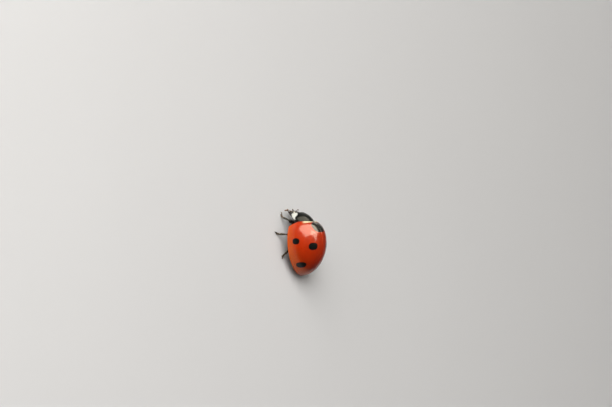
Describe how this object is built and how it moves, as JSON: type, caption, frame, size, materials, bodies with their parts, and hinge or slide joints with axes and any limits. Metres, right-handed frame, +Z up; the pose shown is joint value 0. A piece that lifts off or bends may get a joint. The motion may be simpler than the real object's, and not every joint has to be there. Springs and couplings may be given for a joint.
{
  "type": "ladybird",
  "caption": "Life-size seven-spot ladybird standing on its six feet, head low, wing cases closed over the back.",
  "frame": {"origin": "on the floor under the middle of the ladybird's bounding box", "axes": "+Z up, head toward -Y, the animal's left side toward +X, tail toward +Y"},
  "size_m": [0.0062, 0.0074, 0.0039],
  "materials": {
    "abdomen": "black belly plates with fine pale hairs",
    "feeler": "brown feelers and palps with darker clubs and fine hairs",
    "elytra": "glossy orange-red wing cases with seven black spots and a pale mark at each side of the scutellum",
    "eye": "black compound eyes with fine facets",
    "leg": "black legs, dark brown at the feet, with fine pale hairs",
    "head": "glossy black, finely pitted, with two pale spots beside the eyes",
    "thorax": "black underside with fine pale hairs",
    "labrum": "glossy dark brown upper lip",
    "pronotum": "glossy black neck shield with a creamy white patch at each front corner",
    "scutellum": "glossy black"
  },
  "bodies": {
    "root": {"abdomen": "abdomen", "antenna_left": "feeler", "antenna_right": "feeler", "elytron_left": "elytra", "elytron_right": "elytra", "eye_left": "eye", "eye_right": "eye", "fore_coxa_left": "leg", "fore_coxa_right": "leg", "fore_femur_left": "leg", "fore_femur_right": "leg", "fore_tarsus_left": "leg", "fore_tarsus_right": "leg", "fore_tibia_left": "leg", "fore_tibia_right": "leg", "head": "head", "hind_coxa_left": "leg", "hind_coxa_right": "leg", "hind_femur_left": "leg", "hind_femur_right": "leg", "hind_tarsus_left": "leg", "hind_tarsus_right": "leg", "hind_thorax": "thorax", "hind_tibia_left": "leg", "hind_tibia_right": "leg", "labrum": "labrum", "mid_coxa_left": "leg", "mid_coxa_right": "leg", "mid_femur_left": "leg", "mid_femur_right": "leg", "mid_tarsus_left": "leg", "mid_tarsus_right": "leg", "mid_tibia_left": "leg", "mid_tibia_right": "leg", "palp_left": "feeler", "palp_right": "feeler", "pronotum": "pronotum", "prothorax": "thorax", "scutellum": "scutellum"}
  },
  "joints": []
}
